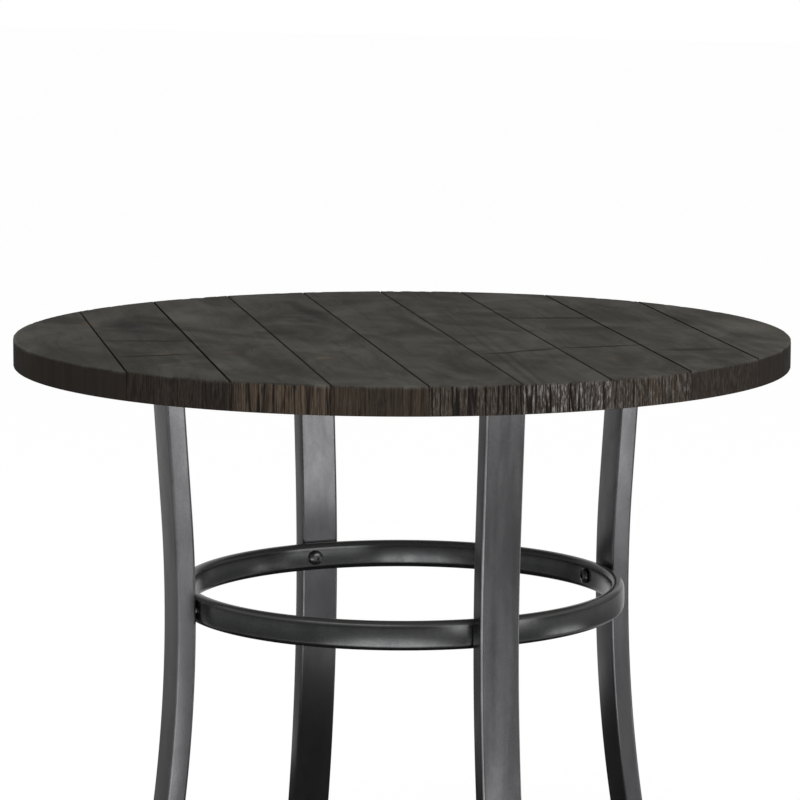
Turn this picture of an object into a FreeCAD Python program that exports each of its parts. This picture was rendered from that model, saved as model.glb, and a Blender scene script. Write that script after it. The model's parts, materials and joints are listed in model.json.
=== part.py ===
# Counter height table: a round plank top on four bowed legs of rectangular tube, tied together
# at the waist by a hoop that is bolted on from inside, with a threaded leveller under each foot.
# Millimetres and degrees. +Z is up, the origin is on the floor under the middle of the top,
# and the legs stand on the diagonals of X and Y.
import FreeCAD, Part
import os
import Sketcher
from FreeCAD import Placement, Rotation, Vector

doc = FreeCAD.newDocument("CounterHeightTable")

sizes = {
    # round top
    "table_height": 914.4,
    "top_diameter": 1143,
    "top_thickness": 41,
    "rim_ease": 2,
    "plank_angle": 32.5,
    "joint_vee": 1.3,
    # loose splines glued into the plank joints
    "spline_width": 20,
    "spline_thickness": 6,
    "spline_play": 1,
    "spline_end_gap": 45,
    # flat steel bars across the planks
    "bar_width": 40,
    "bar_thickness": 5,
    "bar_offset": 205,
    "bar_rim_gap": 40,
    "wood_screw_length": 20,
    "wood_screw_shank": 5,
    "wood_screw_head": 10,
    "wood_screw_head_height": 2.6,
    "wood_screw_tip": 6,
    "wood_screw_slot_width": 2,
    "wood_screw_slot_depth": 1.6,
    # legs of bent rectangular tube
    "leg_angle": 45,
    "leg_width": 60,
    "leg_depth": 30,
    "leg_wall": 2,
    "leg_corner": 4.5,
    "waist_radius": 348.5,
    "waist_height": 526.5,
    "bend_radius": 2220,
    "top_splay": 3.7,
    # welded plate on each leg and what holds it to the top
    "plate_length": 84,
    "plate_width": 108,
    "plate_thickness": 5,
    "plate_corner": 8,
    "plate_shift": 16,
    "plate_hole": 7,
    "hole_spacing_out": 60,
    "hole_spacing_across": 84,
    "screw_diameter": 6,
    "screw_length": 20,
    "screw_head_width": 10,
    "screw_head_height": 4,
    "washer_diameter": 12,
    "washer_hole": 6.4,
    "washer_thickness": 1.6,
    "insert_diameter": 10,
    "insert_length": 15,
    "insert_bore_spare": 1.5,
    # hoop of rounded tube and the bolts that hold it to the legs
    "hoop_height": 42,
    "hoop_depth": 21,
    "hoop_wall": 2,
    "hoop_corner": 7.5,
    "bolt_diameter": 8,
    "bolt_length": 35,
    "bolt_offset": 17,
    "bolt_hole": 8.6,
    "bolt_head_diameter": 23,
    "bolt_head_height": 6,
    "bolt_head_rim": 1.4,
    "bolt_socket_width": 8,
    "bolt_socket_depth": 3.4,
    "rivet_nut_diameter": 11,
    "rivet_nut_length": 15,
    "rivet_nut_flange": 16,
    "rivet_nut_flange_thickness": 1.2,
    # plugs in the feet and the levellers screwed into them
    "plug_flange": 3,
    "plug_depth": 25,
    "plug_play": 0.2,
    "glide_diameter": 34,
    "glide_height": 9,
    "glide_sole": 3,
    "glide_ease": 1.5,
    "ankle_diameter": 14,
    "ankle_thickness": 3,
    "ankle_play": 0.3,
    "stud_diameter": 8,
    "stud_length": 36,
    "stud_hex_width": 13,
    "stud_hex_height": 5,
    "stud_chamfer": 1,
    # play between threads, and how far every cutting shape runs past what it cuts
    "thread_play": 0.05,
    "running_play": 0.1,
    "overrun": 5,
}

dims = doc.addObject("Spreadsheet::Sheet", "Dims")
for row, (name, number) in enumerate(sizes.items(), start=1):
    dims.set(f"A{row}", name)
    dims.set(f"B{row}", str(number))
    dims.setAlias(f"B{row}", name)
doc.recompute()

plank_count = 9
leg_count = 4
middle_plank = plank_count // 2
hex_sides = 6
full_turn = 360
quarter_turn = 90
eighth_turn = 45
nodes = []

# Places worked out from the sizes, as formulas on the sheet
top_radius = "(Dims.top_diameter / 2)"
plank_width = f"(Dims.top_diameter / {plank_count})"
underside = "(Dims.table_height - Dims.top_thickness)"
plate_bottom = f"({underside} - Dims.plate_thickness)"
bend_top = "(Dims.waist_height + Dims.bend_radius * sin(Dims.top_splay))"
bend_top_radius = "(Dims.waist_radius + Dims.bend_radius * (1 - cos(Dims.top_splay)))"
leg_top_radius = f"({bend_top_radius} + tan(Dims.top_splay) * ({plate_bottom} - {bend_top}))"
plate_centre = f"({leg_top_radius} + Dims.plate_shift)"
bar_half = f"(sqrt({top_radius}^2 - (Dims.bar_offset + Dims.bar_width / 2)^2) - Dims.bar_rim_gap)"
leg_inner_face = "(Dims.waist_radius - Dims.leg_depth / 2)"
hoop_radius = f"({leg_inner_face} - Dims.rivet_nut_flange_thickness)"
hoop_inner_radius = f"({hoop_radius} - Dims.hoop_depth)"
hex_bottom = "(Dims.glide_height + Dims.ankle_play)"
plug_bottom = f"({hex_bottom} + Dims.stud_hex_height + Dims.ankle_play)"
foot_height = f"({plug_bottom} + Dims.plug_flange)"
foot_tilt = f"asin((Dims.waist_height - {foot_height}) / Dims.bend_radius)"
foot_radius = f"(Dims.waist_radius + Dims.bend_radius * (1 - cos({foot_tilt})))"
stud_radius = f"({foot_radius} - tan({foot_tilt}) * Dims.plug_depth / 2)"


# Helpers
def value(formula):
    return float(dims.evalExpression(formula))


def bind(thing, formulas):
    for path, formula in formulas.items():
        thing.setExpression(path, formula)
    return thing


def primitive(kind, name, formulas, x="0", y="0", z="0", rotation=Rotation()):
    thing = doc.addObject(kind, name)
    thing.Placement = Placement(Vector(), rotation)
    bind(thing, formulas)
    return bind(thing, {"Placement.Base.x": x, "Placement.Base.y": y, "Placement.Base.z": z})


def block(name, length, width, height, x, y, z, rotation=Rotation()):
    formulas = {"Length": length, "Width": width, "Height": height}
    return primitive("Part::Box", name, formulas, x, y, z, rotation)


def rod(name, radius, height, z="0"):
    return primitive("Part::Cylinder", name, {"Radius": radius, "Height": height}, z=z)


def hexagon(name, width, height, z="0"):
    formulas = {"Circumradius": f"{width} / sqrt(3)", "Height": height}
    thing = primitive("Part::Prism", name, formulas, z=z)
    thing.Polygon = hex_sides
    return thing


def gather(name, things):
    group = doc.addObject("Part::Compound", name)
    group.Links = things
    return group


def fuse(name, things):
    group = doc.addObject("Part::MultiFuse", name)
    group.Shapes = things
    return group


def cut(name, base, tool):
    result = doc.addObject("Part::Cut", name)
    result.Base = base
    result.Tool = tool
    return result


def turned(thing, angle):
    thing.Placement = Placement(Vector(), Rotation(Vector(0, 0, 1), value(angle)))
    return bind(thing, {"Placement.Rotation.Angle": angle})


def copies(name, thing, spots):
    # one link for each spot, given as x, y and a turn about Z
    links = []
    for index, (x, y, turn) in enumerate(spots, start=1):
        link = doc.addObject("App::Link", f"{name}_copy_{index}")
        link.LinkedObject = thing
        link.LinkTransform = True
        link.Placement = Placement(Vector(), Rotation(Vector(0, 0, 1), value(turn)))
        formulas = {"Placement.Base.x": x, "Placement.Base.y": y, "Placement.Rotation.Angle": turn}
        links.append(bind(link, formulas))
    return gather(name, links)


def node(thing, label):
    thing.Label = label
    nodes.append(thing)
    return thing


def origin_item(body, role):
    return next(item for item in body.Origin.OriginFeatures if item.Role == role)


def sketch_on(body, role, name, offset=None, rotation=Rotation()):
    sketch = body.newObject("Sketcher::SketchObject", name)
    sketch.AttachmentSupport = [(origin_item(body, role), "")]
    sketch.MapMode = "FlatFace"
    sketch.AttachmentOffset = Placement(Vector(), rotation)
    for path, formula in (offset or {}).items():
        sketch.setExpression(f"AttachmentOffset.{path}", formula)
    return sketch


def tie(sketch, kind, *targets, formula):
    constraint = Sketcher.Constraint(kind, *targets, value(formula))
    sketch.setExpression(f"Constraints[{sketch.addConstraint(constraint)}]", formula)


def fix_point(sketch, geometry, point, x, y):
    origin, across_axis, up_axis = -1, -1, -2
    for kind, axis, place in (("DistanceX", up_axis, x), ("DistanceY", across_axis, y)):
        if place == "0":
            sketch.addConstraint(Sketcher.Constraint("PointOnObject", geometry, point, axis))
        else:
            tie(sketch, kind, origin, 1, geometry, point, formula=place)


def outline(sketch, corners):
    # closed loop of straight lines through corners, each a pair of formulas
    places = [Vector(value(x), value(y), 0) for x, y in corners]
    first = sketch.GeometryCount
    following = places[1:] + places[:1]
    for start, end in zip(places, following):
        sketch.addGeometry(Part.LineSegment(start, end), False)
    lines = list(range(first, first + len(corners)))
    for line, next_line in zip(lines, lines[1:] + lines[:1]):
        sketch.addConstraint(Sketcher.Constraint("Coincident", line, 2, next_line, 1))
    for line, (x, y) in zip(lines, corners):
        fix_point(sketch, line, 1, x, y)


def circle(sketch, diameter, x="0", y="0"):
    centre = Vector(value(x), value(y), 0)
    radius = value(diameter) / 2
    index = sketch.addGeometry(Part.Circle(centre, Vector(0, 0, 1), radius), False)
    tie(sketch, "Diameter", index, formula=diameter)
    fix_point(sketch, index, 3, x, y)


def rounded_loop(sketch, length, width, corner, x="0", y="0"):
    # rectangle with rounded corners, length along the sketch's x and width along its y
    left, right = f"{x} - ({length}) / 2", f"{x} + ({length}) / 2"
    bottom, top = f"{y} - ({width}) / 2", f"{y} + ({width}) / 2"
    x_low, x_high, y_low, y_high = (value(side) for side in (left, right, bottom, top))
    radius = value(corner)
    rounds = [
        Vector(x_high - radius, y_low + radius, 0),
        Vector(x_high - radius, y_high - radius, 0),
        Vector(x_low + radius, y_high - radius, 0),
        Vector(x_low + radius, y_low + radius, 0),
    ]
    outward = [Vector(0, -radius, 0), Vector(radius, 0, 0), Vector(0, radius, 0), Vector(-radius, 0, 0)]
    first = sketch.GeometryCount
    for side, centre in enumerate(rounds):
        onward = outward[(side + 1) % len(rounds)]
        start = rounds[side - 1] + outward[side]
        end = centre + outward[side]
        sketch.addGeometry(Part.LineSegment(start, end), False)
        middle = centre + (outward[side] + onward).normalize() * radius
        sketch.addGeometry(Part.Arc(end, middle, centre + onward), False)
    pieces = list(range(first, sketch.GeometryCount))
    lines, arcs = pieces[0::2], pieces[1::2]
    for piece, next_piece in zip(pieces, pieces[1:] + pieces[:1]):
        sketch.addConstraint(Sketcher.Constraint("Tangent", piece, 2, next_piece, 1))
    for direction, line in zip(("Horizontal", "Vertical", "Horizontal", "Vertical"), lines):
        sketch.addConstraint(Sketcher.Constraint(direction, line))
    for arc in arcs[1:]:
        sketch.addConstraint(Sketcher.Constraint("Equal", arcs[0], arc))
    tie(sketch, "Radius", arcs[0], formula=corner)
    tie(sketch, "DistanceY", -1, 1, lines[0], 1, formula=bottom)
    tie(sketch, "DistanceX", -1, 1, lines[1], 1, formula=right)
    tie(sketch, "DistanceY", -1, 1, lines[2], 1, formula=top)
    tie(sketch, "DistanceX", -1, 1, lines[3], 1, formula=left)


def pad(body, sketch, name, length):
    feature = body.newObject("PartDesign::Pad", name)
    feature.Profile = sketch
    return bind(feature, {"Length": length})


def pocket_through(body, sketch, name):
    feature = body.newObject("PartDesign::Pocket", name)
    feature.Profile = sketch
    feature.Type = "ThroughAll"
    feature.Midplane = True
    return feature


def pocket_outwards(body, sketch, name, length):
    # cuts the way the sketch's normal points
    feature = body.newObject("PartDesign::Pocket", name)
    feature.Profile = sketch
    feature.Reversed = True
    return bind(feature, {"Length": length})


def revolve(body, sketch, name, axis="V_Axis"):
    feature = body.newObject("PartDesign::Revolution", name)
    feature.Profile = sketch
    feature.ReferenceAxis = (sketch, [axis])
    return feature


def bend_axis(sketch):
    # upright construction line in the waist plane, about which the leg is bent
    x = "Dims.waist_radius + Dims.bend_radius"
    ends = [Vector(value(x), 0, 0), Vector(value(x), value("Dims.leg_width"), 0)]
    index = sketch.addGeometry(Part.LineSegment(*ends), True)
    fix_point(sketch, index, 1, x, "0")
    fix_point(sketch, index, 2, x, "Dims.leg_width")


# Spots that repeat: the four legs, and the four holes of a leg plate
def leg_turns(start):
    return [f"{start} + {number * full_turn / leg_count}" for number in range(leg_count)]


leg_spots = [("0", "0", turn) for turn in leg_turns("Dims.leg_angle")]
plate_spots = []
for out in ("-", "+"):
    for across in ("-", "+"):
        x = f"{plate_centre} {out} Dims.hole_spacing_out / 2"
        y = f"0 {across} Dims.hole_spacing_across / 2"
        plate_spots.append((x, y, "0"))


def joint_place(number):
    # distance of a plank joint from the middle of the top, counted from the left
    return f"({number} - {plank_count} / 2) * {plank_width}"


def plank_middle(number):
    # the outer planks are measured to the ends of the bars that cross them
    if number in (0, plank_count - 1):
        side = -1 if number == 0 else 1
        return f"{side} * ((({plank_count} / 2 - 1) * {plank_width}) + {bar_half}) / 2"
    return f"({number} - {middle_plank}) * {plank_width}"


# Wood screws through the flat bars, and the bores they need, in the frame of the planks
bar_bottom = f"({underside} - Dims.bar_thickness)"
bar_screw_spots = []
for bar_side in (-1, 1):
    for number in range(plank_count):
        bar_screw_spots.append((plank_middle(number), f"{bar_side} * Dims.bar_offset", "0"))


def wood_screw_form(name, play):
    formulas = {
        "Radius1": f"Dims.wood_screw_head / 2 + {play}",
        "Radius2": f"Dims.wood_screw_shank / 2 + {play}",
        "Height": "Dims.wood_screw_head_height",
    }
    head = primitive("Part::Cone", f"{name}_head", formulas, z=bar_bottom)
    shank_length = f"Dims.wood_screw_length - Dims.wood_screw_tip + {play}"
    shank = rod(f"{name}_shank", formulas["Radius2"], shank_length, bar_bottom)
    tip_formulas = {"Radius1": formulas["Radius2"], "Radius2": "0", "Height": "Dims.wood_screw_tip"}
    tip = primitive("Part::Cone", f"{name}_tip", tip_formulas, z=f"{bar_bottom} + {shank_length}")
    return fuse(name, [head, shank, tip])


wood_screw_solid = wood_screw_form("wood_screw_solid", "0")
slot = block(
    "wood_screw_slot",
    "Dims.wood_screw_head",
    "Dims.wood_screw_slot_width",
    "Dims.wood_screw_slot_depth + Dims.overrun",
    "-Dims.wood_screw_head / 2",
    "-Dims.wood_screw_slot_width / 2",
    f"{bar_bottom} - Dims.overrun",
)
wood_screw = cut("wood_screw", wood_screw_solid, slot)
bar_screws = node(copies("bar_screw_group", wood_screw, bar_screw_spots), "bar_screws")
turned(bar_screws, "Dims.plank_angle")
screw_bore = wood_screw_form("screw_bore", "Dims.running_play")
bar_screw_bores = copies("bar_screw_bores", screw_bore, bar_screw_spots)

# Flat bars under the top
for side, label in ((-1, "top_bar_1"), (1, "top_bar_2")):
    bar_blank = block(
        f"{label}_blank",
        f"2 * {bar_half}",
        "Dims.bar_width",
        "Dims.bar_thickness",
        f"-{bar_half}",
        f"{side} * Dims.bar_offset - Dims.bar_width / 2",
        bar_bottom,
    )
    turned(node(cut(f"{label}_bored", bar_blank, bar_screw_bores), label), "Dims.plank_angle")

# Loose splines, and the slots they are glued into
splines = []
slots = []
spline_bottom = f"{underside} + (Dims.top_thickness - Dims.spline_thickness) / 2"
for number in range(1, plank_count):
    place = joint_place(number)
    reach = f"(abs({place}) + Dims.spline_width / 2)"
    half = f"(sqrt({top_radius}^2 - {reach}^2) - Dims.spline_end_gap)"
    splines.append(block(
        f"spline_{number}",
        "Dims.spline_width",
        f"2 * {half}",
        "Dims.spline_thickness",
        f"{place} - Dims.spline_width / 2",
        f"-{half}",
        spline_bottom,
    ))
    slots.append(block(
        f"spline_slot_{number}",
        "Dims.spline_width + 2 * Dims.spline_play",
        f"2 * ({half} + Dims.spline_play)",
        "Dims.spline_thickness",
        f"{place} - Dims.spline_width / 2 - Dims.spline_play",
        f"-({half} + Dims.spline_play)",
        spline_bottom,
    ))
turned(node(gather("spline_group", splines), "plank_splines"), "Dims.plank_angle")

# Vee grooves along the plank joints, cut by square bars stood on edge
vees = []
for number in range(1, plank_count):
    vees.append(block(
        f"joint_vee_{number}",
        "Dims.joint_vee * sqrt(2)",
        "Dims.top_diameter + 2 * Dims.overrun",
        "Dims.joint_vee * sqrt(2)",
        f"{joint_place(number)} - Dims.joint_vee",
        f"-{top_radius} - Dims.overrun",
        "Dims.table_height",
        Rotation(Vector(0, 1, 0), eighth_turn),
    ))

# Threaded inserts, washers and screws that hold the leg plates to the planks
insert_body = rod("insert_body", "Dims.insert_diameter / 2", "Dims.insert_length", underside)
thread_bore = rod(
    "insert_thread",
    "Dims.screw_diameter / 2 + Dims.thread_play",
    "Dims.insert_length + 2 * Dims.overrun",
    f"{underside} - Dims.overrun",
)
plate_insert = cut("plate_insert", insert_body, thread_bore)
washer_blank = rod(
    "washer_blank",
    "Dims.washer_diameter / 2",
    "Dims.washer_thickness",
    f"{plate_bottom} - Dims.washer_thickness",
)
washer_bore = rod(
    "washer_bore",
    "Dims.washer_hole / 2",
    "Dims.washer_thickness + 2 * Dims.overrun",
    f"{plate_bottom} - Dims.washer_thickness - Dims.overrun",
)
plate_washer = cut("plate_washer", washer_blank, washer_bore)
screw_seat = f"({plate_bottom} - Dims.washer_thickness)"
screw_head = hexagon(
    "plate_screw_head",
    "Dims.screw_head_width",
    "Dims.screw_head_height",
    f"{screw_seat} - Dims.screw_head_height",
)
screw_shank = rod("plate_screw_shank", "Dims.screw_diameter / 2", "Dims.screw_length", screw_seat)
plate_screw = fuse("plate_screw", [screw_head, screw_shank])
for label, thing in (
    ("leg_plate_inserts", plate_insert),
    ("leg_plate_washers", plate_washer),
    ("leg_plate_screws", plate_screw),
):
    one_plate = copies(f"{label}_of_one", thing, plate_spots)
    node(copies(f"{label}_of_all", one_plate, leg_spots), label)

# The bores for the inserts, turned into the frame of the planks
insert_bore = rod(
    "insert_bore",
    "Dims.insert_diameter / 2 + Dims.thread_play",
    "Dims.insert_length + Dims.insert_bore_spare + Dims.overrun",
    f"{underside} - Dims.overrun",
)
bores_of_one = copies("insert_bores_of_one", insert_bore, plate_spots)
bore_spots = [("0", "0", turn) for turn in leg_turns("Dims.leg_angle - Dims.plank_angle")]
insert_bores = copies("insert_bores", bores_of_one, bore_spots)

# Planks, sawn from one round blank
blank_body = doc.addObject("PartDesign::Body", "top_blank")
blank_sketch = sketch_on(blank_body, "XY_Plane", "blank_circle", {"Base.z": underside})
circle(blank_sketch, "Dims.top_diameter")
blank_pad = pad(blank_body, blank_sketch, "blank_disc", "Dims.top_thickness")
doc.recompute()
rims = []
for index, edge in enumerate(blank_pad.Shape.Edges, start=1):
    if isinstance(edge.Curve, Part.Circle):
        rims.append(f"Edge{index}")
blank_ease = blank_body.newObject("PartDesign::Chamfer", "blank_ease")
blank_ease.Base = (blank_pad, rims)
bind(blank_ease, {"Size": "Dims.rim_ease"})
top_cutters = gather("top_cutters", vees + slots + [bar_screw_bores, insert_bores])
top_worked = cut("top_worked", blank_body, top_cutters)
for number in range(plank_count):
    left = f"(-{top_radius} - Dims.overrun)" if number == 0 else f"({joint_place(number)})"
    last = number == plank_count - 1
    right = f"({top_radius} + Dims.overrun)" if last else f"({joint_place(number + 1)})"
    strip = block(
        f"strip_{number + 1}",
        f"{right} - {left}",
        "Dims.top_diameter + 2 * Dims.overrun",
        "Dims.top_thickness + 2 * Dims.overrun",
        left,
        f"-{top_radius} - Dims.overrun",
        f"{underside} - Dims.overrun",
    )
    plank = doc.addObject("Part::Common", f"plank_{number + 1}_sawn")
    plank.Base = top_worked
    plank.Tool = strip
    turned(node(plank, f"plank_{number + 1}"), "Dims.plank_angle")

# Legs, their plates and foot plugs, each in its own frame with +X away from the middle
inner_length = "Dims.leg_depth - 2 * Dims.leg_wall"
inner_width = "Dims.leg_width - 2 * Dims.leg_wall"
inner_corner = "Dims.leg_corner - Dims.leg_wall"
bend_down = f"asin((Dims.waist_height - {plug_bottom}) / (Dims.bend_radius - Dims.leg_depth))"
trim_reach = "(Dims.waist_radius + Dims.leg_width + Dims.waist_height)"


def trim(body, name, low, high):
    # keeps what lies between two heights, cutting a leg's own height away above and below
    sketch = sketch_on(body, "XZ_Plane", f"{name}_sketch")
    above = f"{high} + Dims.table_height"
    below = f"{low} - Dims.table_height"
    outline(sketch, [("0", high), (trim_reach, high), (trim_reach, above), ("0", above)])
    outline(sketch, [("0", low), (trim_reach, low), (trim_reach, below), ("0", below)])
    return pocket_through(body, sketch, name)


def make_leg(name):
    body = doc.addObject("PartDesign::Body", name)
    waist = sketch_on(body, "XY_Plane", f"{name}_waist", {"Base.z": "Dims.waist_height"})
    rounded_loop(waist, "Dims.leg_depth", "Dims.leg_width", "Dims.leg_corner", "Dims.waist_radius")
    rounded_loop(waist, inner_length, inner_width, inner_corner, "Dims.waist_radius")
    bend_axis(waist)
    bend = revolve(body, waist, f"{name}_bend", "Axis0")
    bend.Type = "TwoAngles"
    bind(bend, {"Angle": "Dims.top_splay", "Angle2": bend_down})
    tilt = Rotation(Vector(0, 1, 0), value("Dims.top_splay"))
    offset = {"Base.x": bend_top_radius, "Base.z": bend_top, "Rotation.Angle": "Dims.top_splay"}
    shoulder = sketch_on(body, "XY_Plane", f"{name}_shoulder", offset, tilt)
    rounded_loop(shoulder, "Dims.leg_depth", "Dims.leg_width", "Dims.leg_corner")
    rounded_loop(shoulder, inner_length, inner_width, inner_corner)
    straight = f"({plate_bottom} - {bend_top}) / cos(Dims.top_splay) + Dims.leg_depth"
    pad(body, shoulder, f"{name}_straight", straight)
    trim(body, f"{name}_trim", foot_height, plate_bottom)
    nut_hole = sketch_on(body, "YZ_Plane", f"{name}_nut_hole_sketch")
    nut_bore = "Dims.rivet_nut_diameter + 2 * Dims.thread_play"
    circle(nut_hole, nut_bore, "Dims.bolt_offset", "Dims.waist_height")
    pocket_outwards(body, nut_hole, f"{name}_nut_hole", "Dims.waist_radius")
    return body


def make_plate(name):
    body = doc.addObject("PartDesign::Body", name)
    sketch = sketch_on(body, "XY_Plane", f"{name}_sketch", {"Base.z": plate_bottom})
    rounded_loop(sketch, "Dims.plate_length", "Dims.plate_width", "Dims.plate_corner", plate_centre)
    for x, y, turn in plate_spots:
        circle(sketch, "Dims.plate_hole", x, y)
    pad(body, sketch, f"{name}_pad", "Dims.plate_thickness")
    return body


def make_plug(name):
    body = doc.addObject("PartDesign::Body", name)
    waist = sketch_on(body, "XY_Plane", f"{name}_waist", {"Base.z": "Dims.waist_height"})
    length = f"{inner_length} - 2 * Dims.plug_play"
    width = f"{inner_width} - 2 * Dims.plug_play"
    rounded_loop(waist, length, width, inner_corner, "Dims.waist_radius")
    bend_axis(waist)
    bend = revolve(body, waist, f"{name}_bend", "Axis0")
    bend.Reversed = True
    bind(bend, {"Angle": bend_down})
    trim(body, f"{name}_trim", foot_height, f"({foot_height} + Dims.plug_depth)")
    flange = sketch_on(body, "XY_Plane", f"{name}_flange_sketch", {"Base.z": plug_bottom})
    flange_length = f"Dims.leg_depth / cos({foot_tilt})"
    rounded_loop(flange, flange_length, "Dims.leg_width", "Dims.leg_corner", foot_radius)
    pad(body, flange, f"{name}_flange", "Dims.plug_flange")
    bore = sketch_on(body, "XY_Plane", f"{name}_bore_sketch")
    circle(bore, "Dims.stud_diameter + 2 * Dims.running_play", stud_radius)
    pocket_through(body, bore, f"{name}_bore")
    return body


# Leveller stud and glide, each about its own Z axis
def make_stud(name):
    body = doc.addObject("PartDesign::Body", name)
    ankle_bottom = "Dims.glide_sole + Dims.ankle_play"
    ankle_top = f"{ankle_bottom} + Dims.ankle_thickness"
    stud_top = f"{hex_bottom} + Dims.stud_hex_height + Dims.stud_length"
    shank = "Dims.stud_diameter / 2"
    profile = sketch_on(body, "XZ_Plane", f"{name}_profile")
    outline(profile, [
        ("0", ankle_bottom),
        ("Dims.ankle_diameter / 2", ankle_bottom),
        ("Dims.ankle_diameter / 2", ankle_top),
        (shank, ankle_top),
        (shank, f"{stud_top} - Dims.stud_chamfer"),
        (f"{shank} - Dims.stud_chamfer", stud_top),
        ("0", stud_top),
    ])
    revolve(body, profile, f"{name}_turned")
    hex_sketch = sketch_on(body, "XY_Plane", f"{name}_hex_sketch", {"Base.z": hex_bottom})
    corners = []
    for corner in range(hex_sides):
        turn = full_turn / hex_sides * (corner + 1 / 2)
        corners.append((
            f"Dims.stud_hex_width / sqrt(3) * cos({turn})",
            f"Dims.stud_hex_width / sqrt(3) * sin({turn})",
        ))
    outline(hex_sketch, corners)
    pad(body, hex_sketch, f"{name}_hex", "Dims.stud_hex_height")
    return body


def make_glide(name):
    body = doc.addObject("PartDesign::Body", name)
    radius = "Dims.glide_diameter / 2"
    roof = "Dims.glide_sole + Dims.ankle_thickness + 2 * Dims.ankle_play"
    socket = "Dims.ankle_diameter / 2 + Dims.ankle_play"
    throat = "Dims.stud_diameter / 2 + Dims.ankle_play"
    profile = sketch_on(body, "XZ_Plane", f"{name}_profile")
    outline(profile, [
        ("0", "0"),
        (f"{radius} - Dims.glide_ease / 2", "0"),
        (radius, "Dims.glide_ease / 2"),
        (radius, "Dims.glide_height - 2 * Dims.glide_ease"),
        (f"{radius} - 2 * Dims.glide_ease", "Dims.glide_height"),
        (throat, "Dims.glide_height"),
        (throat, roof),
        (socket, roof),
        (socket, "Dims.glide_sole"),
        ("0", "Dims.glide_sole"),
    ])
    revolve(body, profile, f"{name}_turned")
    return body


for index, turn in enumerate(leg_turns("Dims.leg_angle"), start=1):
    turned(node(make_leg(f"leg_{index}"), f"leg_{index}"), turn)
    turned(node(make_plate(f"leg_plate_{index}"), f"leg_plate_{index}"), turn)
    turned(node(make_plug(f"foot_plug_{index}"), f"foot_plug_{index}"), turn)
    for make, label in ((make_stud, f"leveller_stud_{index}"), (make_glide, f"leveller_glide_{index}")):
        piece = turned(node(make(label), label), turn)
        formulas = {
            "Placement.Base.x": f"{stud_radius} * cos({turn})",
            "Placement.Base.y": f"{stud_radius} * sin({turn})",
        }
        bind(piece, formulas)

# Hoop inside the legs
hoop = doc.addObject("PartDesign::Body", "hoop")
hoop_middle = f"({hoop_radius} - Dims.hoop_depth / 2)"
section = sketch_on(hoop, "XZ_Plane", "hoop_section")
for wall in ("0", "Dims.hoop_wall"):
    depth, height = f"Dims.hoop_depth - 2 * {wall}", f"Dims.hoop_height - 2 * {wall}"
    rounded_loop(section, depth, height, f"Dims.hoop_corner - {wall}", hoop_middle, "Dims.waist_height")
revolve(hoop, section, "hoop_ring")
hole_sketch = sketch_on(hoop, "YZ_Plane", "hoop_hole_sketch")
circle(hole_sketch, "Dims.bolt_hole", "Dims.bolt_offset", "Dims.waist_height")
hoop_hole = pocket_outwards(hoop, hole_sketch, "hoop_hole", f"{hoop_radius} + Dims.overrun")
hoop_holes = hoop.newObject("PartDesign::PolarPattern", "hoop_holes")
hoop_holes.Originals = [hoop_hole]
hoop_holes.Axis = (origin_item(hoop, "Z_Axis"), [""])
hoop_holes.Angle = full_turn
hoop_holes.Occurrences = leg_count
hoop.Tip = hoop_holes
turned(node(hoop, "foot_hoop"), "Dims.leg_angle")

# Bolts through the hoop, head towards the middle, and the rivet nuts in the legs
dome = "(Dims.bolt_head_height - Dims.bolt_head_rim)"
dome_radius = f"(((Dims.bolt_head_diameter / 2)^2 + {dome}^2) / (2 * {dome}))"
head_disc = rod("bolt_head_disc", "Dims.bolt_head_diameter / 2", "Dims.bolt_head_height")
head_ball = primitive(
    "Part::Sphere", "bolt_head_ball", {"Radius": dome_radius}, z=f"Dims.bolt_head_height - {dome_radius}"
)
bolt_head = doc.addObject("Part::Common", "bolt_head")
bolt_head.Base = head_disc
bolt_head.Tool = head_ball
bolt_shank = rod("bolt_shank", "Dims.bolt_diameter / 2", "Dims.bolt_length", "-Dims.bolt_length")
bolt_solid = fuse("bolt_solid", [bolt_head, bolt_shank])
bolt_socket = hexagon(
    "bolt_socket",
    "Dims.bolt_socket_width",
    "Dims.bolt_socket_depth + Dims.overrun",
    "Dims.bolt_head_height - Dims.bolt_socket_depth",
)
bolt = cut("bolt", bolt_solid, bolt_socket)
nut_flange = rod("nut_flange", "Dims.rivet_nut_flange / 2", "Dims.rivet_nut_flange_thickness")
nut_barrel = rod(
    "nut_barrel", "Dims.rivet_nut_diameter / 2", "Dims.rivet_nut_length", "-Dims.rivet_nut_length"
)
nut_solid = fuse("nut_solid", [nut_flange, nut_barrel])
nut_thread = rod(
    "nut_thread",
    "Dims.bolt_diameter / 2 + Dims.thread_play",
    "Dims.rivet_nut_length + Dims.rivet_nut_flange_thickness + 2 * Dims.overrun",
    "-Dims.rivet_nut_length - Dims.overrun",
)
rivet_nut = cut("rivet_nut", nut_solid, nut_thread)
to_middle = Rotation(Vector(0, 1, 0), -quarter_turn)
bolt_seat = f"sqrt({hoop_inner_radius}^2 - (Dims.bolt_offset + Dims.bolt_head_diameter / 2)^2)"
for thing, place, label in (
    (bolt, bolt_seat, "hoop_bolts"),
    (rivet_nut, leg_inner_face, "leg_rivet_nuts"),
):
    thing.Placement = Placement(Vector(), to_middle)
    bind(thing, {
        "Placement.Base.x": place,
        "Placement.Base.y": "Dims.bolt_offset",
        "Placement.Base.z": "Dims.waist_height",
    })
    node(copies(f"{label}_of_all", thing, leg_spots), label)

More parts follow.
